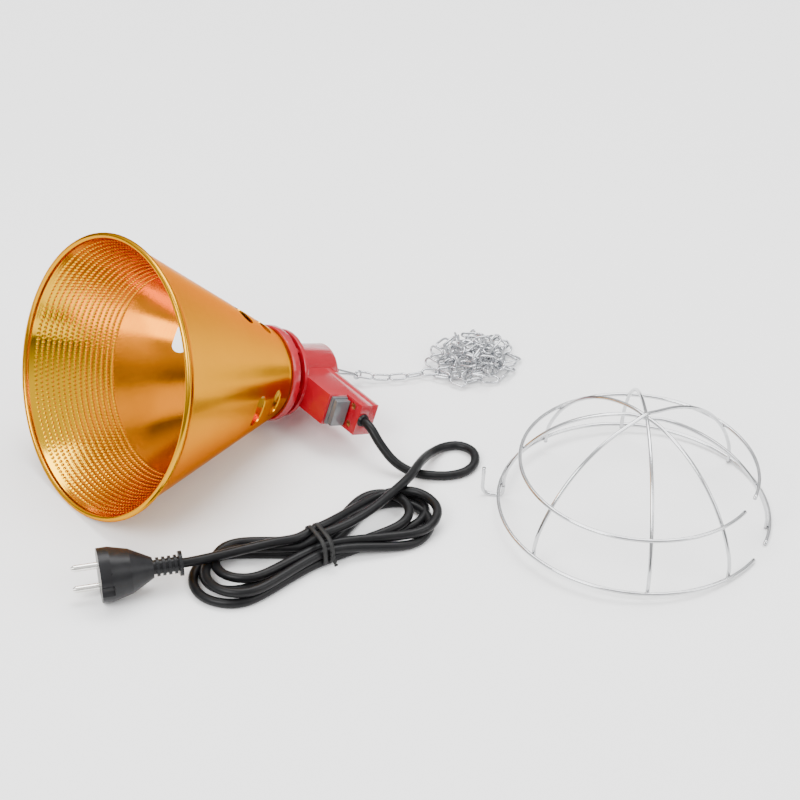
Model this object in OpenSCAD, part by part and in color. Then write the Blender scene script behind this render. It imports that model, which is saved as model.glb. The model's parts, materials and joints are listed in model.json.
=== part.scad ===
// Heat lamp fixture: conical reflector lying on the floor with its lampholder,
// switch arm, bail, hanging chain, mains cord with plug, and a lift-off wire guard.
// Millimetres, +X along the longest side, +Z up, floor at z = 0.

/* [Placement] */
// Turn of the lamp about the vertical
lamp_turn = 37; // [20:1:50]
// Dip of the lamp axis below the horizontal, rim and housing back both on the floor
lamp_dip = 21.6; // [18:0.1:26]
// Rim centre, sideways
rim_x = -213.2; // [-230:0.1:-190]
// Rim centre, front to back
rim_y = -28.4; // [-60:0.1:-10]
// Guard centre, sideways
guard_x = 175.8; // [160:0.1:200]
// Guard centre, front to back
guard_y = -61.4; // [-80:0.1:-40]

/* [Shade] */
// Outer radius over the rolled rim
rim_r = 105; // [90:1:120]
// Radius of the rolled bead
bead_r = 2.2; // [1.5:0.1:3]
// Sheet thickness
sheet_t = 1; // [0.6:0.1:1.5]
// Distance from the rim plane to the collar
shade_depth = 151; // [130:1:180]
// Outer radius of the neck
neck_r = 35; // [30:1:40]
// Half width of the larger vent across the cone
vent_big = 13; // [8:0.5:15]
// Half width of the smaller vent across the cone
vent_small = 11; // [6:0.5:13]

/* [Collar and housing] */
// Outer radius of the collar
collar_r = 37; // [36:0.5:42]
// Length of the collar
collar_len = 6.5; // [6:0.5:12]
// Height of the cooling gap
gap_h = 7; // [3:0.5:8]
// Outer radius of the second ring
flange_r = 34; // [30:0.5:37]
// Outer radius of the housing
housing_r = 22; // [21:0.5:26]
// Wall of the plastic mouldings
wall = 2; // [1.5:0.1:3]
// Position of the housing back along the axis
back_w = 209; // [200:1:215]

/* [Arm and switch] */
// Reach of the wide block from the axis
block_x = 61; // [55:1:70]
// Reach of the arm end from the axis
arm_x = 80; // [75:1:95]
// Height of the arm
arm_h = 25; // [20:1:30]
// Front of the wide block along the axis
block_w0 = 168; // [166:1:174]
// Front of the narrow end along the axis
end_w0 = 184; // [180:1:188]
// Seam of the cover along the axis
seam_w = 194.5; // [192:0.5:196]
// Back of the cover along the axis
arm_w1 = 201; // [199:0.5:204]
// Swing of the rocker from one stop to the other
rocker_swing = 18; // [10:1:24]

/* [Bail and chain] */
// Wire of bail and chain
chain_wire = 1.8; // [1.4:0.1:2.4]
// Length of the bail from pivot to eye
bail_len = 28; // [18:1:32]
// Inside length of a chain link
link_pitch = 13.4; // [10:0.1:16]
// Outside width of a chain link
link_width = 8; // [6:0.1:10]
// Links between the bail and the heap
run_links = 5; // [3:1:7]

/* [Cord and plug] */
// Cord diameter
cord_d = 7; // [6:0.1:8]
// Height of the tied hank
hank_h = 14; // [12:1:24]
// Radius of a hank lobe
lobe_r = 33; // [25:1:40]
// Plug pin diameter
pin_d = 4.8; // [4:0.1:5]
// Plug pin length
pin_len = 19; // [18:0.5:20]
// Distance between the plug pins
pin_gap = 19; // [18:0.5:20]
// Plug body radius
plug_r = 19.5; // [17:0.5:20]

/* [Guard] */
// Wire diameter
guard_wire = 2.8; // [2:0.1:4]
// Lower ring radius
ring_low_r = 100; // [95:0.5:104]
// Upper ring radius
ring_up_r = 87.05; // [80:0.05:95]
// Upper ring height
ring_up_z = 39; // [30:0.5:50]
// Radius of the domed part of a rib
dome_r = 101.6; // [100:0.5:120]
// Height of the crossing at the top
dome_top = 83; // [75:0.5:95]

// Tip of the guard, raised at one side by its hook
guard_tip = 3; // [0:0.5:5]

/* [Hidden] */
e = 0.01;
rim_z = (rim_r - bead_r) * cos(lamp_dip) + bead_r * (1 + sin(lamp_dip));
collar_w1 = shade_depth + collar_len;
flange_w0 = collar_w1 + gap_h;
web_w0 = shade_depth + 3;
holder_r = 19.5;
bore_r = 14.2;
holder_w0 = 144;
holder_len = 44;
shell_w0 = 146;
shell_w1 = 176;
holder_screw_y = 8;
shell_r = 13.35;
lug = [7, -4, back_w + 5];
lug_drop = 9.5;
eye_r = 3.2;
slope = atan((rim_r - neck_r) / shade_depth);
cord_w = (end_w0 + seam_w) / 2;
nugget_r = 5.6;
nugget_h = 3.4;
rib_cut = 2.7;
vent_turn = 4;
vents_round = 4;
vent_at = [109, 132];
vent_half_l = [6.5, 5.5];
ring_gap = [-35, -23];
rib_turn = [-11, -51, -89, 38];
chain_start = [-30, 102.3, 9.1];
chain_end = [35.8, 113.2, 6];
hank_c = [-53.5, -111];
lobe_at = [[2.5, -72], [-116, -140.5]];
lobe_turn = [35, 205.3];
tie_turn = 30;
plug_c = [-207, -156.5, plug_r];
plug_turn = 13.5;
rocker_x = block_x + 1.2;
boot_h = 4.6;
boot_wall = 0.9;
screw_y = 7.4;
cover_screw_x = 71;
grip_screw_x = 69;

// route of the cord from the arm end to the hank, on the floor
lead_pts = [
    [-23.26, 11.91, 28.92], [-20.3, 8, 28.8], [-16.8, 3.3, 26.4], [-11, -4, 19.5], [-1, -13, 10.7],
    [12, -18.5, 4.8], [27, -21.5, 3.6], [42, -21.5, 3.6], [54, -16, 3.6], [60.5, -5, 3.6],
    [59, 8, 3.6], [49, 15.5, 3.6], [37, 13, 4], [28, 3, 6.5], [22, -10, 11], [17, -25, 15.5],
    [10, -43, 17.7], [-3, -62, 17.9], [-16, -79, 17.8], [-31, -94, 17.7], [-45, -104, 17.7]];

// route of the cord from the top of the hank to the plug
tail_pts = [
    [-57.5, -109.6, 17.7], [-70, -113, 17.8], [-85, -117.5, 17.8], [-100, -123, 17.9],
    [-115, -129, 18], [-129, -134.5, 18.2], [-140, -139.4, 19], [-149.6, -142.7, 19.5]];

// lamp frame: +Z runs from rim to housing, +X along the arm, +Y downwards
module in_lamp() {
    translate([rim_x, rim_y, rim_z]) rotate([0, 90 + lamp_dip, lamp_turn]) rotate([0, 0, -90])
        children();
}

module tube(r_out, r_in, w0, w1) {
    translate([0, 0, w0]) difference() {
        cylinder(r = r_out, h = w1 - w0, $fn = 96);
        translate([0, 0, -e]) cylinder(r = r_in, h = w1 - w0 + 2 * e, $fn = 96);
    }
}

module rod(a, b, r, n = 24) {
    v = b - a;
    len_v = norm(v);
    translate(a) rotate([0, acos(v[2] / len_v), atan2(v[1], v[0])])
        cylinder(r = r, h = len_v, $fn = n);
}

// ---- swept round cord along a list of points ----
function unit(v) = v / norm(v);
function tangent(p, i) = unit(p[min(i + 1, len(p) - 1)] - p[max(i - 1, 0)]);
function side(t) = unit(cross([0, 0, 1], t));
function ring_pts(p, i, r, n) = [for (k = [0:n - 1])
    let (t = tangent(p, i), s = side(t), u = cross(t, s), a = 360 * k / n)
    p[i] + r * (cos(a) * s + sin(a) * u)];
function spline_at(p, i, f) = let (
    a = p[max(i - 1, 0)], b = p[i], c = p[i + 1], d = p[min(i + 2, len(p) - 1)])
    0.5 * (2 * b + f * (c - a) + f * f * (2 * a - 5 * b + 4 * c - d)
    + f * f * f * (3 * b - a - 3 * c + d));
function smooth(p, m) = concat([for (i = [0:len(p) - 2]) for (k = [0:m - 1])
    spline_at(p, i, k / m)], [p[len(p) - 1]]);

module sweep(p, r, n = 10) {
    c = len(p);
    pts = [for (i = [0:c - 1]) each ring_pts(p, i, r, n)];
    sides = [for (i = [0:c - 2]) for (k = [0:n - 1])
        [i * n + k, (i + 1) * n + k, (i + 1) * n + (k + 1) % n, i * n + (k + 1) % n]];
    ends = [[for (k = [0:n - 1]) k], [for (k = [n - 1:-1:0]) (c - 1) * n + k]];
    polyhedron(pts, concat(sides, ends), convexity = 6);
}

// ---- shade ----
module vent(w, half_w, half_l) {
    r = rim_r - (rim_r - neck_r) * w / shade_depth;
    translate([0, r, w]) rotate([90 + slope, 0, 0]) translate([0, 0, -12])
        linear_extrude(24) union() {
            square([2 * (half_w - half_l), 2 * half_l], center = true);
            for (s = [-1, 1]) translate([s * (half_w - half_l), 0]) circle(half_l, $fn = 32);
        }
}

module reflector_shade() {
    color([0.86, 0.55, 0.22]) in_lamp() difference() {
        rotate_extrude($fn = 96) polygon([
            [rim_r - bead_r - 1.6, bead_r + 1], [rim_r - bead_r - 0.4, bead_r + 1],
            [neck_r, shade_depth], [neck_r, web_w0], [holder_r + 0.3, web_w0],
            [holder_r + 0.3, web_w0 - sheet_t], [neck_r - sheet_t, web_w0 - sheet_t],
            [neck_r - sheet_t, shade_depth]]);
        for (k = [0:vents_round - 1]) rotate([0, 0, vent_turn + 360 / vents_round * k]) {
            vent(vent_at[0], vent_big, vent_half_l[0]);
            vent(vent_at[1], vent_small, vent_half_l[1]);
        }
    }
}

module rim_wire() {
    color([0.86, 0.55, 0.22]) in_lamp() difference() {
        rotate_extrude($fn = 96) translate([rim_r - bead_r, bead_r]) circle(bead_r, $fn = 20);
        rotate_extrude($fn = 96) polygon([
            [rim_r - bead_r - 1.6, bead_r + 1], [rim_r - bead_r - 0.4, bead_r + 1],
            [neck_r, shade_depth], [neck_r - sheet_t, shade_depth]]);
    }
}

module shade_ring_nut() {
    color([0.8, 0.8, 0.78]) in_lamp() difference() {
        tube(27, holder_r + 0.02, web_w0 - sheet_t - 4, web_w0 - sheet_t);
        for (k = [0:11]) rotate([0, 0, 30 * k]) translate([27, 0, web_w0 - sheet_t - 2])
            cube([3, 3, 5], center = true);
    }
}

// ---- red mouldings ----
module shade_collar() {
    color([0.75, 0.07, 0.05]) in_lamp() {
        tube(collar_r, neck_r + 0.1, shade_depth, collar_w1);
        tube(neck_r + 0.3, holder_r + 0.02, web_w0, collar_w1);
        for (k = [0:5]) rotate([0, 0, 60 * k]) translate([26, -2, collar_w1 - e])
            cube([5, 4, gap_h + e]);
    }
}

module arm_outline(w0, w1, grow) {
    translate([0, -arm_h / 2 + grow, w0]) cube([arm_x - grow, arm_h - 2 * grow, w1 - w0]);
}

module lampholder_housing() {
    color([0.75, 0.07, 0.05]) in_lamp() difference() {
        union() {
            translate([0, 0, flange_w0]) cylinder(r = flange_r, h = 3.5, $fn = 96);
            translate([0, 0, flange_w0]) cylinder(r = housing_r, h = back_w - 3 - flange_w0, $fn = 96);
            translate([0, -arm_h / 2, block_w0 - 1]) cube([block_x, arm_h, seam_w - block_w0 + 1]);
            arm_outline(end_w0, seam_w, 0);
        }
        translate([0, 0, flange_w0 - e]) cylinder(r = housing_r - wall, h = 50, $fn = 96);
        translate([0, -arm_h / 2 + wall, block_w0 + 1.5])
            cube([block_x - wall, arm_h - 2 * wall, seam_w - block_w0]);
        arm_outline(end_w0 + wall, seam_w + e, wall);
        translate([block_x - wall - 1, -9.6, 169.4]) cube([wall + 2, 19.2, 13.2]);
        translate([arm_x - 4, 0, cord_w]) rotate([0, 90, 0]) cylinder(r = 4.4, h = 8, $fn = 40);
        for (s = [-1, 1]) translate([cover_screw_x, s * screw_y, end_w0 - 1])
            cylinder(r = 2.8, h = 6, $fn = 32);
    }
}

module housing_back() {
    color([0.75, 0.07, 0.05]) in_lamp() difference() {
        rotate_extrude($fn = 96) polygon([[0, back_w - 3], [housing_r, back_w - 3],
            [housing_r, back_w - 2], [housing_r - 0.8, back_w - 0.8], [housing_r - 2.2, back_w],
            [0, back_w]]);
        translate([0, 0, back_w - 4]) cylinder(r = 1.6, h = 6, $fn = 24);
    }
}

module arm_cover() {
    color([0.75, 0.07, 0.05]) in_lamp() difference() {
        arm_outline(seam_w, arm_w1, 0);
        translate([0, 0, seam_w - 1]) cylinder(r = housing_r + 0.05, h = 12, $fn = 96);
        translate([housing_r + 3, -arm_h / 2 + wall, seam_w - e])
            cube([arm_x - housing_r - 3 - wall, arm_h - 2 * wall, arm_w1 - seam_w - wall]);
    }
}

module cover_screws() {
    color([0.78, 0.6, 0.28]) in_lamp() for (s = [-1, 1])
        translate([cover_screw_x, s * screw_y, end_w0 + 1.2]) difference() {
            cylinder(r = 2.6, h = 3.8, $fn = 32);
            translate([-3, -0.4, -e]) cube([6, 0.8, 1]);
        }
}

// ---- lampholder ----
module porcelain_lampholder() {
    color([0.93, 0.92, 0.88]) in_lamp() difference() {
        translate([0, 0, holder_w0]) cylinder(r = holder_r, h = holder_len, $fn = 96);
        translate([0, 0, holder_w0 - 1]) cylinder(r = bore_r, h = 35, $fn = 96);
        for (s = [-1, 1]) translate([0, s * holder_screw_y, 181]) cylinder(r = 1.7, h = 8, $fn = 24);
    }
}

module screw_shell() {
    color([0.78, 0.6, 0.28]) in_lamp() tube(bore_r - 0.02, shell_r, shell_w0, shell_w1);
}

module centre_contact() {
    color([0.78, 0.6, 0.28]) in_lamp() {
        translate([-3, -6, 177]) cube([6, 12, 1]);
        translate([0, 0, 176.3]) cylinder(r1 = 2, r2 = 3, h = 0.7 + e, $fn = 32);
    }
}

module lampholder_screws() {
    color([0.8, 0.8, 0.78]) in_lamp() for (s = [-1, 1]) translate([0, s * holder_screw_y, 182])
        union() {
            cylinder(r = 1.6, h = 6, $fn = 24);
            translate([0, 0, 6]) cylinder(r = 3.2, h = 2, $fn = 32);
        }
}

// ---- switch ----
module switch_body() {
    color([0.06, 0.06, 0.06]) in_lamp() difference() {
        translate([block_x - 17, -9.5, 169.6]) cube([17, 19, 12.8]);
        translate([block_x - 4, -8.6, 170.6]) cube([8, 17.2, 10.8]);
    }
    color([0.06, 0.06, 0.06]) in_lamp() for (s = [-1, 1])
        translate([block_x - 23, s * 5 - 2, 175.6]) cube([6, 4, 0.8]);
}

module switch_bezel() {
    color([0.85, 0.87, 0.88]) in_lamp() difference() {
        translate([block_x, -11.3, 168.9]) cube([3, 22.6, 14.3]);
        translate([block_x - 1, -9, 170.4]) cube([6, 18, 11.2]);
    }
}

// soft clear cap over the rocker, hollow, standing on the bezel
module switch_boot() {
    color([0.45, 0.46, 0.48]) in_lamp() difference() {
        translate([block_x + 3, -10.4, 169.6]) cube([boot_h, 20.8, 12.8]);
        translate([block_x + 2, -9.4, 170.6]) cube([boot_h + 1 - boot_wall, 18.8, 10.8]);
    }
}

module switch_rocker() {
    color([0.05, 0.05, 0.05]) in_lamp() translate([rocker_x, 0, 171]) rotate([0, 0, -rocker_swing / 2])
        linear_extrude(10) union() {
            polygon([[-3, -5], [-1.5, -7.9], [3.4, -7.9], [2.4, 0], [3.4, 7.9], [-1.5, 7.9],
                [-3, 5]]);
            circle(r = 3.1, $fn = 48);
        }
}

module switch_diode() {
    color([0.05, 0.05, 0.05]) in_lamp() {
        translate([30, 8, 178]) rotate([0, 90, 0]) cylinder(r = 1.4, h = 5, $fn = 24);
        translate([27, 8, 178]) rotate([0, 90, 0]) cylinder(r = 0.4, h = 3, $fn = 16);
        translate([35, 8, 178]) rotate([0, 90, 0]) cylinder(r = 0.4, h = 3.5, $fn = 16);
    }
}

module live_lead() {
    color([0.42, 0.25, 0.12]) in_lamp() {
        rod([65, -2, cord_w], [7, -8, 191.4], 1.1, 24);
        translate([3.4, -10, 190.2]) cube([5, 4, 2.4]);
    }
}

module neutral_lead() {
    color([0.1, 0.25, 0.6]) in_lamp() {
        rod([65, 2, cord_w], [7, 8, 191.4], 1.1, 24);
        translate([3.4, 6, 190.2]) cube([5, 4, 2.4]);
    }
}

module cord_grip() {
    color([0.85, 0.84, 0.8]) in_lamp() difference() {
        translate([66, -10, 186.2]) cube([6, 20, 7.6]);
        translate([65, 0, cord_w]) rotate([0, 90, 0]) cylinder(r = 3.4, h = 9, $fn = 32);
        for (s = [-1, 1]) translate([grip_screw_x, s * screw_y, 184])
            cylinder(r = 1.25, h = 12, $fn = 24);
        for (s = [-1, 1]) translate([cover_screw_x, s * screw_y, 185])
            cylinder(r = 2.7, h = 4.2, $fn = 32);
    }
}

module cord_grip_screws() {
    color([0.8, 0.8, 0.78]) in_lamp() for (s = [-1, 1]) translate([grip_screw_x, s * screw_y, 0]) {
        translate([0, 0, 189.6]) cylinder(r = 1.2, h = 4.3, $fn = 24);
        translate([0, 0, 193.8]) cylinder(r = 2.2, h = 1.2, $fn = 24);
    }
}

module cord_bushing() {
    color([0.06, 0.06, 0.06]) in_lamp() translate([0, 0, cord_w]) rotate([0, 90, 0]) difference() {
        union() {
            translate([0, 0, arm_x - wall]) cylinder(r = 4.35, h = wall, $fn = 40);
            translate([0, 0, arm_x]) cylinder(r1 = 5.2, r2 = 4.4, h = 2, $fn = 40);
        }
        translate([0, 0, arm_x - 5]) cylinder(r = cord_d / 2 + 0.02, h = 6, $fn = 40);
    }
}

// ---- bail and chain ----
module hanger_lug() {
    color([0.75, 0.07, 0.05]) in_lamp() translate([lug[0], lug[1], back_w]) difference() {
        union() {
            translate([-3, -4, 0]) cube([6, 8, 5]);
            translate([-3, 0, 5]) rotate([0, 90, 0]) cylinder(r = 4, h = 6, $fn = 40);
        }
        translate([-4, 0, 5]) rotate([0, 90, 0]) cylinder(r = chain_wire / 2 + 0.06, h = 8, $fn = 40);
    }
}

module hanger_bail() {
    r = chain_wire / 2;
    color([0.75, 0.76, 0.77]) in_lamp() translate(lug) rotate([-lug_drop, 0, 0]) {
        rod([-5, 0, 0], [5, 0, 0], r, 32);
        for (s = [-1, 1]) {
            translate([s * 5, 0, 0]) sphere(r = r, $fn = 24);
            rod([s * 5, 0, 0], [s * 0.9, 0, bail_len - eye_r], r);
        }
        translate([0, 0, bail_len]) rotate([0, 90, 0]) rotate_extrude($fn = 40)
            translate([eye_r, 0]) circle(r = r, $fn = 20);
    }
}

// one link, long axis +X, first bend centred so that the wire passes the origin along Y
module link() {
    r = chain_wire / 2;
    half = link_width / 2 - r;
    run = link_pitch - 2 * half;
    for (s = [-1, 1]) translate([half, s * half, 0]) rotate([0, 90, 0])
        cylinder(r = r, h = run, $fn = 12);
    translate([half, 0, 0]) rotate([0, 0, 90]) rotate_extrude(angle = 180, $fn = 32)
        translate([half, 0]) circle(r = r, $fn = 14);
    translate([half + run, 0, 0]) rotate([0, 0, -90]) rotate_extrude(angle = 180, $fn = 32)
        translate([half, 0]) circle(r = r, $fn = 14);
}

module chain_run() {
    v = (chain_end - chain_start) / norm(chain_end - chain_start);
    step = (norm(chain_end - chain_start) - link_pitch) / (run_links - 1);
    color([0.78, 0.79, 0.8]) for (i = [0:run_links - 1])
        translate(chain_start + v * step * i) rotate([0, asin(-v[2]), atan2(v[1], v[0])])
            rotate([i % 2 == 0 ? 20 : 110, 0, 0]) link();
}

module chain_heap() {
    color([0.78, 0.79, 0.8]) translate([62, 128, 0]) rotate([0, 0, 12]) {
        linear_extrude(13) polygon([[-27, -12], [-24, -24], [-6, -30], [18, -26], [32, -12],
            [35, 8], [26, 24], [6, 30], [-16, 27], [-30, 12]]);
        translate([0, 0, 13]) linear_extrude(12) polygon([[-18, -8], [-6, -17], [12, -14],
            [20, 0], [12, 13], [-6, 15], [-17, 6]]);
    }
}

// ---- cord ----
module cord_lead() {
    color([0.05, 0.05, 0.05]) sweep(smooth(lead_pts, 2), cord_d / 2, 10);
}

function lobe_arc(i) = [for (a = [-105:10:105])
    lobe_at[i] + lobe_r * [cos(lobe_turn[i] + a), sin(lobe_turn[i] + a)]];
function waist_pt(a) = hank_c + 13 * [cos(a), sin(a)];

module cord_hank() {
    color([0.05, 0.05, 0.05]) linear_extrude(hank_h) polygon(concat(
        lobe_arc(0), [waist_pt(tie_turn + 90)], lobe_arc(1), [waist_pt(tie_turn - 90)]));
}

module cord_tail() {
    color([0.05, 0.05, 0.05]) sweep(smooth(tail_pts, 2), cord_d / 2, 10);
}

module cord_tie() {
    color([0.08, 0.08, 0.08]) translate([hank_c[0], hank_c[1], 0]) rotate([0, 0, tie_turn])
        for (s = [-1, 1]) translate([s * 3.4 - 1.5, 0, 0]) difference() {
            translate([0, -16.4, 0]) cube([3, 32.8, hank_h + 8.4]);
            translate([-1, -15, -1]) cube([5, 30, hank_h + 8.8]);
        }
}

// ---- plug, lying on its side ----
module in_plug() {
    translate(plug_c) rotate([0, 0, plug_turn]) rotate([0, 90, 0]) children();
}

module plug_body() {
    color([0.05, 0.05, 0.05]) in_plug() difference() {
        union() {
            cylinder(r = plug_r, h = 8, $fn = 64);
            translate([0, 0, 8]) cylinder(r1 = plug_r, r2 = 16, h = 14, $fn = 64);
            translate([0, 0, 22]) cylinder(r1 = 16, r2 = 7.5, h = 16, $fn = 64);
        }
        for (s = [-1, 1]) translate([0, s * (plug_r + 2.2), -1]) cylinder(r = 5.2, h = 10, $fn = 40);
    }
}

module plug_pins() {
    color([0.8, 0.8, 0.8]) in_plug() for (s = [-1, 1]) translate([s * pin_gap / 2, 0, -pin_len]) {
        translate([0, 0, 2]) cylinder(r = pin_d / 2, h = pin_len - 2, $fn = 40);
        cylinder(r1 = pin_d / 2 - 1, r2 = pin_d / 2, h = 2, $fn = 40);
    }
}

module plug_relief() {
    color([0.05, 0.05, 0.05]) in_plug() {
        translate([0, 0, 38]) cylinder(r = 5.2, h = 21, $fn = 40);
        for (k = [0:3]) translate([0, 0, 40.5 + 4.2 * k]) cylinder(r = 6.8, h = 2, $fn = 40);
        translate([0, 0, 56.5]) cylinder(r = 9, h = 2.5, $fn = 48);
    }
}

// ---- guard ----
module at_guard() {
    translate([guard_x, guard_y, ring_low_r * sin(guard_tip)]) rotate([0, guard_tip, 0]) children();
}

module guard_ring(r, z) {
    at_guard() translate([0, 0, z]) rotate([0, 0, ring_gap[1]])
        rotate_extrude(angle = 360 - ring_gap[1] + ring_gap[0], $fn = 96)
            translate([r, 0]) circle(r = guard_wire / 2, $fn = 16);
}

module guard_lower_ring() {
    color([0.8, 0.81, 0.82]) guard_ring(ring_low_r, guard_wire / 2);
}

module guard_upper_ring() {
    color([0.8, 0.81, 0.82]) guard_ring(ring_up_r, ring_up_z);
}

module guard_cross_wires() {
    foot_r = ring_low_r - guard_wire + 0.05;
    span = asin(foot_r / dome_r);
    knee_z = dome_top - dome_r + dome_r * cos(span);
    knee_r = guard_wire / 2 + 0.03; // a touch fuller than the wire at its bend
    color([0.8, 0.81, 0.82]) at_guard() {
        translate([0, 0, dome_top - nugget_h / 2]) cylinder(r = nugget_r, h = nugget_h, $fn = 40);
        for (t = rib_turn) for (h = [0, 180]) rotate([0, 0, t + h]) {
            translate([0, 0, dome_top - dome_r]) rotate([90, 0, 0]) rotate([0, 0, 90 - span])
                rotate_extrude(angle = span - rib_cut, $fn = 128) translate([dome_r, 0])
                    circle(r = guard_wire / 2, $fn = 16);
            translate([foot_r, 0, knee_z]) sphere(r = knee_r, $fn = 32);
            translate([foot_r, 0, 0]) cylinder(r = guard_wire / 2, h = knee_z, $fn = 16);
        }
    }
}

// quarter bend of guard wire in the hook's plane
module hook_bend(r, start) {
    rotate([90, 0, 0]) rotate([0, 0, start]) rotate_extrude(angle = 90, $fn = 48)
        translate([r, 0]) circle(r = guard_wire / 2, $fn = 24);
}

module guard_hook() {
    wire_r = guard_wire / 2;
    r0 = ring_low_r - guard_wire + 0.05;
    low = -9.2;
    in_r = 4;
    out_r = 5;
    reach = 6.5;
    upright = 18;
    color([0.8, 0.81, 0.82]) at_guard() rotate([0, 0, rib_turn[0] + 180]) translate([r0, 0, 0]) {
        translate([0, 0, low + in_r]) cylinder(r = wire_r, h = -low - in_r, $fn = 24);
        translate([in_r, 0, low + in_r]) hook_bend(in_r, 180);
        translate([in_r, 0, low]) rotate([0, 90, 0]) cylinder(r = wire_r, h = reach, $fn = 24);
        translate([in_r + reach, 0, low + out_r]) hook_bend(out_r, -90);
        translate([in_r + reach + out_r, 0, low + out_r]) cylinder(r = wire_r, h = upright, $fn = 24);
    }
}

reflector_shade();
rim_wire();
shade_ring_nut();
shade_collar();
lampholder_housing();
housing_back();
arm_cover();
cover_screws();
porcelain_lampholder();
screw_shell();
centre_contact();
lampholder_screws();
switch_body();
switch_bezel();
switch_boot();
switch_rocker();
switch_diode();
live_lead();
neutral_lead();
cord_grip();
cord_grip_screws();
cord_bushing();
hanger_lug();
hanger_bail();
chain_run();
chain_heap();
cord_lead();
cord_hank();
cord_tail();
cord_tie();
plug_body();
plug_pins();
plug_relief();
guard_lower_ring();
guard_upper_ring();
guard_cross_wires();
guard_hook();
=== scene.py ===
"""Heat lamp fixture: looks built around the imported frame. Metres, floor at z = 0."""

import json
import math
import random

import bmesh
import bpy
import numpy as np
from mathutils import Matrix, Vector


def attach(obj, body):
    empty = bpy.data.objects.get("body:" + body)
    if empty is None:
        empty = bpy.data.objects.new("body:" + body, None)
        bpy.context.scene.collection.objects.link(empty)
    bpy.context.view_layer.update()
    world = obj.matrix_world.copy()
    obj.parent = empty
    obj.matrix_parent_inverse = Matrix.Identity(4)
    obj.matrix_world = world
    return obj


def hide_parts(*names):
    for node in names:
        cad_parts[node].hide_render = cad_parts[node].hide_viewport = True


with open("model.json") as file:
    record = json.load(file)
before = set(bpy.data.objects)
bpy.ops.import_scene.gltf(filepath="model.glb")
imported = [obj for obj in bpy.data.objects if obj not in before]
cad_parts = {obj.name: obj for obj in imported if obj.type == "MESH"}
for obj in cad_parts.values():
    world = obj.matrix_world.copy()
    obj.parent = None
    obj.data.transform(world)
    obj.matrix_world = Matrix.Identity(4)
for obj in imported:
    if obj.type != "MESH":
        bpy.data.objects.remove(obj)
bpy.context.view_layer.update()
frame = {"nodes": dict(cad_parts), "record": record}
MM = 0.001

# ---------------------------------------------------------------- camera
ELEV = math.radians(36)
TARGET = Vector((0.00375, 0.0796, 0.0))
DISTANCE = 1.836
cam = bpy.data.objects.new("camera", bpy.data.cameras.new("camera"))
bpy.context.collection.objects.link(cam)
back = Vector((0, -math.cos(ELEV), math.sin(ELEV)))
cam.location = TARGET + back * DISTANCE
cam.rotation_mode = "QUATERNION"
cam.rotation_quaternion = (-back).to_track_quat("-Z", "Y")
cam.data.lens = 105
cam.data.sensor_width = 36
cam.data.clip_start, cam.data.clip_end = 0.05, 50
bpy.context.scene.camera = cam


# ---------------------------------------------------------------- helpers
def spline(points, steps):
    """Points of a smooth curve through the given points."""
    p = [np.array(q, float) for q in points]
    out = []
    for i in range(len(p) - 1):
        a, b, c, d = p[max(i - 1, 0)], p[i], p[i + 1], p[min(i + 2, len(p) - 1)]
        for k in range(steps):
            f = k / steps
            out.append(
                0.5
                * (
                    2 * b
                    + f * (c - a)
                    + f * f * (2 * a - 5 * b + 4 * c - d)
                    + f**3 * (3 * b - a - 3 * c + d)
                )
            )
    out.append(p[-1])
    return np.array(out)


def new_mesh(name, verts, faces, smooth=True):
    me = bpy.data.meshes.new(name)
    me.from_pydata([tuple(v) for v in verts], [], faces)
    me.validate()
    if smooth:
        me.polygons.foreach_set("use_smooth", [True] * len(me.polygons))
    ob = bpy.data.objects.new(name, me)
    bpy.context.collection.objects.link(ob)
    return ob


def tube_data(path, r, n=12, closed=False):
    """Vertices and faces of a round tube along a path."""
    path = np.array(path, float)
    m = len(path)
    if closed:
        tan = np.roll(path, -1, 0) - np.roll(path, 1, 0)
    else:
        tan = np.gradient(path, axis=0)
    tan /= np.linalg.norm(tan, axis=1)[:, None]
    ref = np.array([0, 0, 1.0]) if abs(tan[0][2]) < 0.9 else np.array([1.0, 0, 0])
    side = np.cross(tan[0], ref)
    verts = []
    for i in range(m):
        side = side - tan[i] * side.dot(tan[i])
        side /= np.linalg.norm(side)
        up = np.cross(side, tan[i])
        for k in range(n):
            a = 2 * math.pi * k / n
            verts.append(path[i] + r * (math.cos(a) * side + math.sin(a) * up))
    faces = []
    for i in range(m if closed else m - 1):
        j = (i + 1) % m
        for k in range(n):
            l = (k + 1) % n
            faces.append((i * n + k, i * n + l, j * n + l, j * n + k))
    if not closed:
        faces += [tuple(range(n))[::-1], tuple((m - 1) * n + k for k in range(n))]
    return verts, faces


def merge_data(parts):
    verts, faces = [], []
    for v, f in parts:
        o = len(verts)
        verts += list(v)
        faces += [tuple(i + o for i in face) for face in f]
    return verts, faces


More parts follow.
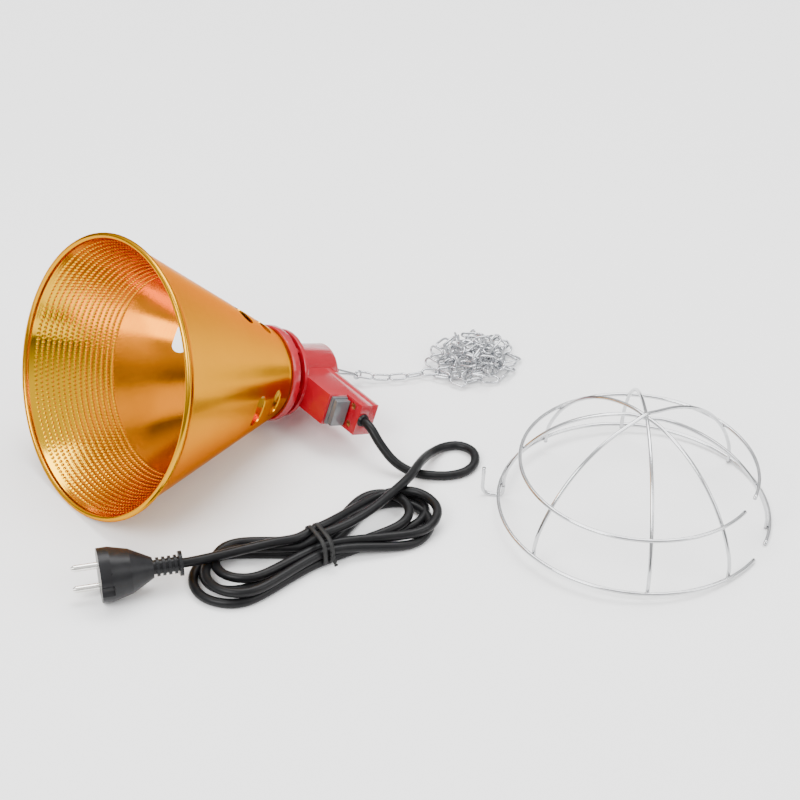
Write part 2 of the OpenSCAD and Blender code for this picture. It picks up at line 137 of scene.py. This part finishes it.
# ---------------------------------------------------------------- materials
def material(name, color, rough=0.4, metal=0.0, mottle=0.08, scale=60.0, bump=0.0, coat=0.0):
    """Principled material whose colour and roughness vary with procedural noise."""
    m = bpy.data.materials.new(name)
    m.use_nodes = True
    m.diffuse_color = (*color, 1)
    nt = m.node_tree
    bsdf = nt.nodes["Principled BSDF"]
    bsdf.inputs["Metallic"].default_value = metal
    bsdf.inputs["Coat Weight"].default_value = coat
    bsdf.inputs["Coat Roughness"].default_value = 0.08
    co = nt.nodes.new("ShaderNodeTexCoord")
    noise = nt.nodes.new("ShaderNodeTexNoise")
    noise.inputs["Scale"].default_value = scale
    noise.inputs["Detail"].default_value = 5
    nt.links.new(co.outputs["Object"], noise.inputs["Vector"])
    ramp = nt.nodes.new("ShaderNodeValToRGB")
    ramp.color_ramp.elements[0].position = 0.3
    ramp.color_ramp.elements[1].position = 0.7
    ramp.color_ramp.elements[0].color = (*[c * (1 - mottle) for c in color], 1)
    ramp.color_ramp.elements[1].color = (*[min(1, c * (1 + mottle)) for c in color], 1)
    nt.links.new(noise.outputs["Fac"], ramp.inputs["Fac"])
    nt.links.new(ramp.outputs["Color"], bsdf.inputs["Base Color"])
    mr = nt.nodes.new("ShaderNodeMapRange")
    mr.inputs["To Min"].default_value = max(0.02, rough - 0.06)
    mr.inputs["To Max"].default_value = rough + 0.08
    nt.links.new(noise.outputs["Fac"], mr.inputs["Value"])
    nt.links.new(mr.outputs["Result"], bsdf.inputs["Roughness"])
    if bump:
        fine = nt.nodes.new("ShaderNodeTexNoise")
        fine.inputs["Scale"].default_value = scale * 12
        nt.links.new(co.outputs["Object"], fine.inputs["Vector"])
        b = nt.nodes.new("ShaderNodeBump")
        b.inputs["Strength"].default_value = bump
        b.inputs["Distance"].default_value = 0.0004
        nt.links.new(fine.outputs["Fac"], b.inputs["Height"])
        nt.links.new(b.outputs["Normal"], bsdf.inputs["Normal"])
    return m


EDGE_GOLD = (0.80, 0.36, 0.04)  # keeps the gold warm where it is seen at a flat angle


def gold_material(name, color, rough):
    """Spun gold-coloured aluminium with fine rings; UV runs in metres round and along the cone."""
    m = material(name, color, rough=rough, metal=1.0, mottle=0.05, scale=25)
    nt = m.node_tree
    bsdf = nt.nodes["Principled BSDF"]
    uv = nt.nodes.new("ShaderNodeUVMap")
    uv.uv_map = "cone"
    mp = nt.nodes.new("ShaderNodeMapping")
    mp.inputs["Scale"].default_value = (1.2, 900, 1)
    nt.links.new(uv.outputs["UV"], mp.inputs["Vector"])
    rings = nt.nodes.new("ShaderNodeTexNoise")
    rings.inputs["Scale"].default_value = 1.0
    rings.inputs["Detail"].default_value = 6
    nt.links.new(mp.outputs["Vector"], rings.inputs["Vector"])
    b = nt.nodes.new("ShaderNodeBump")
    b.inputs["Strength"].default_value = 0.16
    b.inputs["Distance"].default_value = 0.0003
    nt.links.new(rings.outputs["Fac"], b.inputs["Height"])
    nt.links.new(b.outputs["Normal"], bsdf.inputs["Normal"])
    bsdf.inputs["Anisotropic"].default_value = 0.35
    bsdf.inputs["Specular Tint"].default_value = (*EDGE_GOLD, 1)
    return m


GOLD = gold_material("gold_spun", (0.58, 0.275, 0.004), 0.22)
# The inside gold is the outside gold painted brighter and yellower, a painted lift against the darkening
# of reflections inside the cone.
GOLD_IN_PAINTED_BRIGHT = gold_material("gold_inside_painted_bright", (0.72, 0.39, 0.0015), 0.12)
RED = material("red_plastic", (0.36, 0.002, 0.012), rough=0.24, mottle=0.05, scale=40, bump=0.03, coat=0.3)
ZINC = material("zinc_wire", (0.50, 0.51, 0.53), rough=0.22, metal=1.0, mottle=0.1, scale=140)
GUARD = material("bright_wire", (0.56, 0.565, 0.575), rough=0.13, metal=1.0, mottle=0.1, scale=90)
BRASS = material("brass", (0.80, 0.55, 0.22), rough=0.3, metal=1.0, mottle=0.12, scale=200)
PORCELAIN = material("porcelain", (0.86, 0.85, 0.80), rough=0.18, mottle=0.03, scale=50)
CORD = material("black_cord", (0.006, 0.006, 0.0065), rough=0.34, mottle=0.2, scale=300, bump=0.1)
BLACK = material("black_plastic", (0.012, 0.012, 0.013), rough=0.3, mottle=0.2, scale=120, bump=0.05)
TIE = material("tie_plastic", (0.02, 0.02, 0.02), rough=0.5, mottle=0.2, scale=300)
GREY = material("grey_plastic", (0.62, 0.61, 0.57), rough=0.5, mottle=0.06, scale=80)
BROWN = material("brown_lead", (0.20, 0.08, 0.03), rough=0.5, mottle=0.1, scale=150)
BLUE = material("blue_lead", (0.02, 0.07, 0.35), rough=0.5, mottle=0.1, scale=150)
NICKEL = material("nickel_pins", (0.80, 0.78, 0.74), rough=0.16, metal=1.0, mottle=0.06, scale=200)
BOOT = material("clear_boot", (0.16, 0.165, 0.175), rough=0.2, mottle=0.08, scale=60, coat=0.4)
BOOT.node_tree.nodes["Principled BSDF"].inputs["Transmission Weight"].default_value = 0.35

for mat in (CORD, BLACK, TIE):
    mat.node_tree.nodes["Principled BSDF"].inputs["Specular IOR Level"].default_value = 0.16

CAD_LOOK = {
    "shade_ring_nut": ZINC, "shade_collar": RED, "lampholder_housing": RED, "housing_back": RED,
    "arm_cover": RED, "cover_screws": BRASS, "porcelain_lampholder": PORCELAIN,
    "screw_shell": BRASS, "centre_contact": BRASS, "lampholder_screws": ZINC,
    "switch_body": BLACK, "switch_bezel": BOOT, "switch_boot": BOOT, "switch_rocker": BLACK,
    "switch_diode": BLACK,
    "live_lead": BROWN, "neutral_lead": BLUE, "cord_grip": GREY, "cord_grip_screws": ZINC,
    "cord_bushing": BLACK, "hanger_lug": RED, "hanger_bail": ZINC, "plug_body": BLACK,
    "plug_pins": NICKEL, "plug_relief": BLACK,
}


def paint(ob, mat):
    ob.data.materials.clear()
    ob.data.materials.append(mat)


for node, mat in CAD_LOOK.items():
    paint(frame["nodes"][node], mat)

BODY = {node: body for body, nodes in frame["record"]["behaviour"]["bodies"].items() for node in nodes}


def finish_piece(ob, mat, body, nodes=()):
    paint(ob, mat)
    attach(ob, body)
    if nodes:
        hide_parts(*nodes)
    return ob


def rounded_copy(node, mat, width=0.6, angle=35, segments=2):
    """A copy of a CAD node with its sharp edges rounded, shown in its place."""
    src = frame["nodes"][node]
    me = src.data.copy()
    bm = bmesh.new()
    bm.from_mesh(me)
    bmesh.ops.remove_doubles(bm, verts=bm.verts, dist=2e-6)
    bmesh.ops.dissolve_limit(bm, angle_limit=math.radians(0.6), verts=bm.verts, edges=bm.edges)
    bm.to_mesh(me)
    bm.free()
    ob = bpy.data.objects.new("look_" + node, me)
    ob.matrix_world = src.matrix_world.copy()
    bpy.context.collection.objects.link(ob)
    me.polygons.foreach_set("use_smooth", [True] * len(me.polygons))
    bev = ob.modifiers.new("round", "BEVEL")
    bev.width = width * MM
    bev.segments = segments
    bev.limit_method = "ANGLE"
    bev.angle_limit = math.radians(angle)
    bev.harden_normals = True
    bev.use_clamp_overlap = True
    return finish_piece(ob, mat, BODY[node], [node])


# ---------------------------------------------------------------- cord, first
LEAD = [
    [-25.7, 15.2, 28.92], [-23.26, 11.91, 28.92], [-20.3, 8, 28.8], [-16.8, 3.3, 26.4], [-11, -4, 19.5],
    [-1, -13, 10.7], [12, -18.5, 4.8], [27, -21.5, 3.6], [42, -21.5, 3.6], [54, -16, 3.6],
    [60.5, -5, 3.6], [59, 8, 3.6], [49, 15.5, 3.6], [37, 13, 4], [28, 3, 6.5], [22, -10, 11],
    [17, -25, 15.5], [10, -43, 17.7], [-3, -62, 17.9], [-16, -79, 17.8], [-31, -94, 17.7],
    [-45, -104, 17.7],
]
TAIL = [
    [-70, -113, 17.8], [-85, -117.5, 17.8], [-100, -123, 17.9], [-115, -129, 18],
    [-129, -134.5, 18.2], [-140, -139.4, 19], [-149.6, -142.7, 19.5],
]
WAIST = np.array([-53.5, -111.0])
LOBES = {"right": ((2.5, -72.0), 35.0), "left": ((-116.0, -140.5), 205.3)}
TIE_TURN = math.radians(30)
CORD_R = 3.5


def waist(u, v, z):
    c, s = math.cos(TIE_TURN), math.sin(TIE_TURN)
    return [WAIST[0] + u * c - v * s, WAIST[1] + u * s + v * c, z]


def lobe(which, r, z, wob, push=(0, 0)):
    """Round one end of the hank, anticlockwise seen from above."""
    (cx, cy), turn = LOBES[which]
    ca, sa = math.cos(math.radians(turn)), math.sin(math.radians(turn))
    cx, cy = cx + push[0] * ca - push[1] * sa, cy + push[0] * sa + push[1] * ca
    out = []
    for k in range(9):
        a = math.radians(turn - 100 + 25 * k)
        rr = r + wob * math.sin(2.3 * k + r)
        out.append([cx + rr * math.cos(a), cy + rr * math.sin(a), z + 0.4 * math.sin(1.7 * k + z)])
    return out


WOBBLE = 0.6
turns = [  # lobe radius, height and shift, left then right, with the waist places between them
    (25.5, 10.8, (-5, 3), (-10.3, 10.2), 27.0, 3.6, (-6, -5), (10.3, 3.6)),
    (29.0, 3.6, (0, 0), (-10.3, 3.6), 22.0, 3.6, (5, 7), (3.5, 3.6)),
    (21.5, 3.6, (-2, -6), (-3.5, 3.6), 22.5, 10.8, (-11, 6), (10.4, 10.4)),
    (22.0, 10.8, (-12, -7), (-3.4, 10.5), 26.5, 10.8, (2, -4), (10.0, 17.4)),
]
route = LEAD + [waist(1, 2.6, 16.6), waist(-9, 3.4, 12.6), waist(-20, 7, 10.8)]
for i, (r_left, z_left, push_left, to_right, r_right, z_right, push_right, to_left) in enumerate(turns):
    route += lobe("left", r_left, z_left, WOBBLE, push_left)
    route += [waist(-12, *to_right), waist(10, *to_right)]
    route += lobe("right", r_right, z_right, WOBBLE, push_right)
    if i < len(turns) - 1:
        route += [waist(12, *to_left), waist(-10, *to_left)]
    else:
        route += [waist(16, 11.5, 17.3), waist(0, 9.4, 17.6)]
route += TAIL
STEP, ROUNDS, LEAD_HELD, TAIL_HELD, BLEND = 4.0, 12, 82, 24, 14


def even(p):
    """The same line with its points one step apart."""
    d = np.concatenate([[0], np.cumsum(np.linalg.norm(np.diff(p, axis=0), axis=1))])
    t = np.linspace(0, d[-1], int(d[-1] / STEP) + 1)
    return np.stack([np.interp(t, d, p[:, k]) for k in range(3)], 1)


def relaxed(p):
    """The hank's turns eased as a stiff lead eases them; the lead and tail stay as they are."""
    p = even(p)
    i = np.arange(len(p))
    weight = np.clip(np.minimum(i - LEAD_HELD, i[::-1] - TAIL_HELD) / BLEND, 0, 1)[1:-1, None]
    for _ in range(ROUNDS):
        p[1:-1] += weight * 0.25 * (p[:-2] - 2 * p[1:-1] + p[2:])
    p[:, 2] = np.maximum(p[:, 2], CORD_R + 0.05)
    return even(p)


line = relaxed(spline(route, 6)) * MM
cu = bpy.data.curves.new("mains_cord", "CURVE")
cu.dimensions = "3D"
cu.bevel_depth = CORD_R * MM
cu.bevel_resolution = 5
cu.use_fill_caps = True
sp = cu.splines.new("POLY")
sp.points.add(len(line) - 1)
for i, p in enumerate(line):
    sp.points[i].co = (*p, 1)
sp.use_smooth = True
cord = bpy.data.objects.new("mains_cord", cu)
bpy.context.collection.objects.link(cord)
finish_piece(cord, CORD, "lamp", ["cord_lead", "cord_hank", "cord_tail"])


TIE_HALF, TIE_MID, TIE_T = 14.9, 10.9, 0.6


def tie_loop(u, w):
    """One flat band round the waist of the hank."""
    path = []
    for k in range(40):
        a = 2 * math.pi * k / 40
        ca, sa = math.cos(a), math.sin(a)
        v = TIE_HALF * math.copysign(abs(ca) ** 0.55, ca)
        z = TIE_MID + TIE_MID * math.copysign(abs(sa) ** 0.6, sa)
        path.append(waist(u + 0.6 * ca, v, max(z, 0.9)))
    verts, faces = [], []
    middle = np.array([*WAIST, TIE_MID])
    axis = np.array([math.cos(TIE_TURN), math.sin(TIE_TURN), 0])
    for p in path:
        q = np.array(p)
        out = q - middle
        out /= np.linalg.norm(out)
        for du, dr in ((-w, 0), (-w, TIE_T), (w, TIE_T), (w, 0)):
            verts.append((q + axis * du + out * dr) * MM)
    for i in range(len(path)):
        this, following = i * 4, (i + 1) % len(path) * 4
        for k in range(4):
            l = (k + 1) % 4
            faces.append((this + k, this + l, following + l, following + k))
    return verts, faces


TWIST_R, TWIST_STEP = 0.8, 1.4


def twist_end(s):
    """One of the two wires twisted round each other at the end of the tie."""
    path = []
    for t in range(8):
        across, up = math.cos(t * TWIST_STEP), math.sin(t * TWIST_STEP)
        path.append(waist(1 + s * TWIST_R * across, -15.8 - 0.9 * t, 13 - 1.0 * t + s * TWIST_R * up))
    return tube_data(spline(path, 3) * MM, TWIST_R * MM, 8)


twist = [twist_end(s) for s in (-1, 1)]
tie = new_mesh("cord_twist_tie", *merge_data([tie_loop(-3.2, 1.6), tie_loop(2.4, 1.6)] + twist))
finish_piece(tie, TIE, "lamp", ["cord_tie"])

# ---------------------------------------------------------------- lamp frame
TURN, DIP, RIM_R = math.radians(37), math.radians(21.6), 105.0
P = Vector((math.sin(TURN), -math.cos(TURN), 0))
W = Vector((math.cos(DIP) * math.cos(TURN), math.cos(DIP) * math.sin(TURN), -math.sin(DIP)))
Q = Vector((math.sin(DIP) * math.cos(TURN), math.sin(DIP) * math.sin(TURN), math.cos(DIP)))
BEAD = 2.2  # radius of the rolled rim
RIM_Z = (RIM_R - BEAD) * math.cos(DIP) + BEAD * (1 + math.sin(DIP))
RIM_C = Vector((-0.2132, -0.0284, RIM_Z * MM))


def lamp(x, y, w):
    """Frame point of lamp coordinates in mm: along the arm, downwards, along the axis."""
    return RIM_C + (P * x - Q * y + W * w) * MM


# ---------------------------------------------------------------- reflector shade
NECK_R, DEPTH, WEB = 35.0, 151.0, 154.0
FOOT_W, FOOT_R = BEAD + 1.0, RIM_R - BEAD - 0.4
MEAN_R, SHEET = 70.0, 1.0


def outer_r(w):
    return FOOT_R + (NECK_R - FOOT_R) * (w - FOOT_W) / (DEPTH - FOOT_W)


def revolve(name, rows, n, dots=None):
    """Rows of (radius, w, inner) turned round the axis; UV in metres round and along."""
    verts, uvs = [], []
    for r, w, inner in rows:
        for k in range(n + 1):
            a = 2 * math.pi * k / n
            rr = r - (dots(k * 360.0 / n, w, inner) if dots else 0)
            verts.append(lamp(rr * math.cos(a), rr * math.sin(a), w))
            uvs.append((a * MEAN_R * MM, w * MM + inner))
    faces = []
    for j in range(len(rows) - 1):
        for k in range(n):
            i = j * (n + 1) + k
            faces.append((i, i + 1, i + n + 2, i + n + 1))
    me = bpy.data.meshes.new(name)
    me.from_pydata(verts, [], faces)
    layer = me.uv_layers.new(name="cone")
    idx = np.zeros(len(me.loops), int)
    me.loops.foreach_get("vertex_index", idx)
    layer.data.foreach_set("uv", np.array(uvs)[idx].ravel())
    bm = bmesh.new()
    bm.from_mesh(me)
    bmesh.ops.remove_doubles(bm, verts=bm.verts, dist=1e-6)
    bmesh.ops.recalc_face_normals(bm, faces=bm.faces)
    bm.to_mesh(me)
    bm.free()
    me.polygons.foreach_set("use_smooth", [True] * len(me.polygons))
    ob = bpy.data.objects.new(name, me)
    bpy.context.collection.objects.link(ob)
    return ob


def paint_inside_brighter(ob):
    """The faces that look at the axis take the brighter, yellower gold copy: painted light that offsets
    how reflections inside the cone darken and redden the same metal.
    """
    me = ob.data
    me.materials.append(GOLD_IN_PAINTED_BRIGHT)
    for f in me.polygons:
        along = (f.center - RIM_C).dot(W)
        axis_pt = RIM_C + W * along
        if f.normal.dot(f.center - axis_pt) < 0 and along > 0.003:
            f.material_index = 1


DOTS_ROUND, DOT_STEP, DOT_ROWS, DOT_R, DOT_RISE = 176, 3.8, 15, 1.05, 0.5
DOTS_FROM = 9
DOTS_END = DOTS_FROM + DOT_STEP * DOT_ROWS


def dot_height(deg, w, inner):
    """Height of the small raised dots on the inner wall."""
    if not inner:
        return 0.0
    row = round((w - DOTS_FROM) / DOT_STEP)
    if row < 0 or row >= DOT_ROWS:
        return 0.0
    dw = w - DOTS_FROM - row * DOT_STEP
    step = 360.0 / DOTS_ROUND
    off = 0.5 * step * (row % 2)
    da = ((deg - off + step / 2) % step) - step / 2
    ds = math.radians(da) * outer_r(w)
    d2 = (dw * dw + ds * ds) / (DOT_R * DOT_R)
    return DOT_RISE * max(0.0, 1 - d2) ** 1.2


SPLIT = 94.0
rows = []
for w in np.linspace(SPLIT, FOOT_W, 14):  # outside, towards the rim
    rows.append((outer_r(w), w, 0))
for k in range(13):  # rolled bead
    a = math.radians(75 - 270 * k / 12)
    rows.append((RIM_R - BEAD + BEAD * math.cos(a), BEAD + BEAD * math.sin(a), 0))
rows.append((FOOT_R - 1.2, FOOT_W + 0.6, 1))
for w in [*np.linspace(FOOT_W + 1.4, DOTS_END, 130), *np.linspace(DOTS_END + 3, SPLIT, 9)]:  # inside
    rows.append((outer_r(w) - SHEET, w, 1))
front = revolve("shade_front", rows, 6 * DOTS_ROUND, dot_height)
finish_piece(front, GOLD, "lamp", ["rim_wire"])
paint_inside_brighter(front)

HOLE_R = 19.8
rows = [(outer_r(w), w, 0) for w in np.linspace(SPLIT, DEPTH, 10)]
rows += [(NECK_R, DEPTH + 0.1, 0), (NECK_R, WEB, 0), (HOLE_R, WEB, 0), (HOLE_R, WEB - SHEET, 0)]
rows += [(NECK_R - SHEET, WEB - SHEET, 1), (NECK_R - SHEET, DEPTH, 1)]
rows += [(outer_r(w) - SHEET, w, 1) for w in np.linspace(DEPTH - 3, SPLIT, 10)] + [rows[0]]
throat = revolve("shade_throat", rows, 192)
slope = math.atan2(RIM_R - NECK_R, DEPTH)
VENTS = ((109, 13, 6.5), (132, 11, 5.5))  # place along the axis, half width, half length
VENT_SIDES, VENT_REACH = 48, 8


def vent_cutter(turn, w, half, half_l):
    """A bar of oval section that cuts one vent through the sheet."""
    a = math.radians(turn + 90)
    outward = (P * math.cos(a) - Q * math.sin(a)) * math.cos(slope) + W * math.sin(slope)
    around = -P * math.sin(a) - Q * math.cos(a)
    along = outward.cross(around)
    c = lamp(outer_r(w) * math.cos(a), outer_r(w) * math.sin(a), w)
    ring = []
    for k in range(VENT_SIDES):
        t = 2 * math.pi * k / VENT_SIDES
        x = (half - half_l) * (1 if math.cos(t) > 0 else -1) + half_l * math.cos(t)
        ring.append(c + around * x * MM + along * half_l * math.sin(t) * MM)
    verts = [p - outward * VENT_REACH * MM for p in ring] + [p + outward * VENT_REACH * MM for p in ring]
    faces = [tuple(range(VENT_SIDES))[::-1], tuple(range(VENT_SIDES, 2 * VENT_SIDES))]
    for k in range(VENT_SIDES):
        l = (k + 1) % VENT_SIDES
        faces.append((k, l, VENT_SIDES + l, VENT_SIDES + k))
    return verts, faces


cutters = [vent_cutter(turn, *size) for turn in (4, 94, 184, 274) for size in VENTS]
knife = new_mesh("knife", *merge_data(cutters), smooth=False)
bm = bmesh.new()
bm.from_mesh(knife.data)
bmesh.ops.recalc_face_normals(bm, faces=bm.faces)
bm.to_mesh(knife.data)
bm.free()
cut = throat.modifiers.new("vents", "BOOLEAN")
cut.operation = "DIFFERENCE"
cut.object = knife
cut.solver = "EXACT"
dg = bpy.context.evaluated_depsgraph_get()
done = bpy.data.meshes.new_from_object(throat.evaluated_get(dg))
throat.modifiers.clear()
throat.data = done
bpy.data.objects.remove(knife)
done.set_sharp_from_angle(angle=math.radians(38))
finish_piece(throat, GOLD, "lamp", ["reflector_shade"])
paint_inside_brighter(throat)

# ---------------------------------------------------------------- red mouldings, switch
for node in ("shade_collar", "lampholder_housing", "housing_back", "arm_cover", "hanger_lug"):
    rounded_copy(node, RED, 0.5)
rounded_copy("switch_bezel", BOOT, 0.5)
rounded_copy("switch_boot", BOOT, 1.1, segments=4)
rounded_copy("switch_rocker", BLACK, 0.4)

# ---------------------------------------------------------------- guard
GX, GY = 175.8, -61.4
WIRE, TIP, LOW_R = 1.4, math.radians(3), 100.0
RINGS = {"low": ("guard_lower_ring", LOW_R, WIRE), "up": ("guard_upper_ring", 87.05, 39)}


def guard(pts):
    """Guard coordinates in mm to the row frame in metres, with the guard tipped on its hook."""
    p = np.array(pts, float)
    x = p[:, 0] * math.cos(TIP) + p[:, 2] * math.sin(TIP)
    z = -p[:, 0] * math.sin(TIP) + p[:, 2] * math.cos(TIP) + LOW_R * math.sin(TIP)
    return np.stack([x + GX, p[:, 1] + GY, z], 1) * MM


def polar(r, deg, z):
    return [r * math.cos(math.radians(deg)), r * math.sin(math.radians(deg)), z]


for name, (node, r, z) in RINGS.items():
    pts = [polar(r, -23 + 348 * k / 150, z) for k in range(151)]
    ob = new_mesh("guard_ring_" + name, *tube_data(guard(pts), WIRE * MM, 14))
    finish_piece(ob, GUARD, "guard", [node])
DOME_R, DOME_TOP, FOOT = 101.6, 83.0, LOW_R - 2.75
DOME_LOW = DOME_TOP - DOME_R
span = math.asin(FOOT / DOME_R)
knee = DOME_LOW + DOME_R * math.cos(span)
parts = []
for k, turn in enumerate((-11, -51, -89, 38)):
    path = [[FOOT, 0.0]] + [[FOOT, z] for z in np.linspace(3, knee - 3, 3)]
    for t in np.linspace(span - 0.05, 0.05 - span, 61):
        path.append([DOME_R * math.sin(t), DOME_LOW + DOME_R * math.cos(t)])
    path += [[-FOOT, z] for z in np.linspace(knee - 3, 3, 3)] + [[-FOOT, 0.0]]
    lift = 1.3 * (k - 1.5)
    pts = [polar(r, turn, z + lift * math.exp(-((r / 8.0) ** 2))) for r, z in path]
    parts.append(tube_data(guard(pts), WIRE * MM, 12))
cage = new_mesh("guard_cage", *merge_data(parts))
finish_piece(cage, GUARD, "guard", ["guard_cross_wires"])
hook = [
    (0, 0), (0, -3), (0.15, -5.6), (1.3, -8.1), (4, -9.2), (7.5, -9.2), (10.6, -9.2), (13.9, -7.8),
    (15.4, -4.4), (15.5, 0), (15.5, 7), (15.5, 13.8),
]
pts = [polar(FOOT + r, 169, z) for r, z in hook]
ob = new_mesh("guard_clip", *tube_data(guard(spline(pts, 5)), WIRE * MM, 12))
finish_piece(ob, GUARD, "guard", ["guard_hook"])

# ---------------------------------------------------------------- chain
PITCH, WIDTH, CW = 13.4, 8.0, 0.9


def link_data(centre, along, normal):
    """One oval link in the plane of along and (normal x along)."""
    along = along / np.linalg.norm(along)
    normal = normal - along * normal.dot(along)
    normal /= np.linalg.norm(normal)
    across = np.cross(normal, along)
    half = WIDTH / 2 - CW
    run = PITCH / 2 - half
    pts = []
    for k in range(11):
        t = -math.pi / 2 + math.pi * k / 10
        pts.append(centre + along * (run + half * math.cos(t)) + across * half * math.sin(t))
    for k in range(11):
        t = math.pi / 2 + math.pi * k / 10
        pts.append(centre + along * (-run + half * math.cos(t)) + across * half * math.sin(t))
    return tube_data(np.array(pts) * MM, CW * MM, 8, closed=True)


rng = random.Random(7)
EYE = np.array([-30, 102.3, 9.1])
keys = [EYE, [-10, 102.6, 5.5], [12, 106, 5.0], [34, 111, 5]]
heap_c = np.array([62.0, 128.0])
layers = [  # height, half length, half width, turn and gap between rows
    (4.2, 32, 27, 12, 8.6), (9.6, 27, 22, 84, 8.8), (14.6, 20, 17, 150, 9), (19.2, 12, 11, 40, 9.5),
]
for z, half_x, half_y, turn, gap in layers:
    n_rows = max(2, int(2 * half_y / gap) + 1)
    ca, sa = math.cos(math.radians(turn)), math.sin(math.radians(turn))
    for j in range(n_rows):
        row_y = -half_y + 2 * half_y * j / (n_rows - 1)
        reach = half_x * math.sqrt(max(0.15, 1 - (row_y / (half_y * 1.15)) ** 2))
        for f in ((-1, -0.33, 0.33, 1) if j % 2 == 0 else (1, 0.33, -0.33, -1)):
            x = reach * f + rng.uniform(-1.5, 1.5)
            y = row_y + rng.uniform(-2.0, 2.0)
            height = z + rng.uniform(-0.6, 1.0)
            keys.append([heap_c[0] + x * ca - y * sa, heap_c[1] + x * sa + y * ca, height])
path = spline(keys, 14)
dist = np.concatenate([[0], np.cumsum(np.linalg.norm(np.diff(path, axis=0), axis=1))])
parts, pos, i = [], PITCH / 2 - CW, 0
while pos < dist[-1] - PITCH:
    at = np.array([np.interp(pos, dist, path[:, c]) for c in range(3)])
    a0 = np.array([np.interp(pos - 5, dist, path[:, c]) for c in range(3)])
    a1 = np.array([np.interp(pos + 5, dist, path[:, c]) for c in range(3)])
    al = a1 - a0
    al /= np.linalg.norm(al)
    side = np.cross(al, [0, 0, 1.0])
    side /= np.linalg.norm(side)
    up = np.cross(side, al)
    roll = math.radians((20 if i % 2 == 0 else 110) + rng.uniform(-18, 18))
    if i == 0:
        roll = math.radians(8)
    nrm = math.cos(roll) * up + math.sin(roll) * side
    need = abs(math.sin(roll)) * (WIDTH / 2) + CW
    at[2] = max(at[2], need * 0.98, 1.0)
    parts.append(link_data(at, al, nrm))
    pos += PITCH
    i += 1
chain = new_mesh("hanging_chain", *merge_data(parts))
finish_piece(chain, ZINC, "chain", ["chain_run", "chain_heap"])

# ---------------------------------------------------------------- stage
floor = new_mesh("floor", [(-6, -6, 0), (6, -6, 0), (6, 6, 0), (-6, 6, 0)], [(0, 1, 2, 3)], False)
paint(floor, material("floor", (0.95, 0.95, 0.95), rough=0.65, mottle=0.01, scale=3))


def area_light(name, loc, aim, size, power):
    la = bpy.data.lights.new(name, "AREA")
    la.shape = "RECTANGLE"
    la.size, la.size_y = size
    la.energy = power
    ob = bpy.data.objects.new(name, la)
    bpy.context.collection.objects.link(ob)
    ob.location = loc
    ob.rotation_mode = "QUATERNION"
    ob.rotation_quaternion = (Vector(aim) - Vector(loc)).to_track_quat("-Z", "Y")


area_light("key", (-1.2, -1.3, 1.9), (0, 0, 0.05), (1.4, 1.4), 70)
area_light("fill", (1.7, -0.8, 1.2), (0, 0, 0.05), (1.2, 1.2), 22)
area_light("top", (0.2, 0.8, 2.2), (0, 0, 0), (2.0, 1.2), 70)
world = bpy.data.worlds.new("world")
bpy.context.scene.world = world
world.use_nodes = True
wt = world.node_tree
sky = wt.nodes.new("ShaderNodeTexCoord")
split = wt.nodes.new("ShaderNodeSeparateXYZ")
fade = wt.nodes.new("ShaderNodeValToRGB")
for element, position, value in zip(fade.color_ramp.elements, (0.0, 0.55), (0.05, 1.0)):
    element.position = position
    element.color = (value, value, value, 1)
wt.links.new(sky.outputs["Generated"], split.inputs["Vector"])
wt.links.new(split.outputs["Z"], fade.inputs["Fac"])
wt.links.new(fade.outputs["Color"], wt.nodes["Background"].inputs["Color"])
wt.nodes["Background"].inputs["Strength"].default_value = 1.3
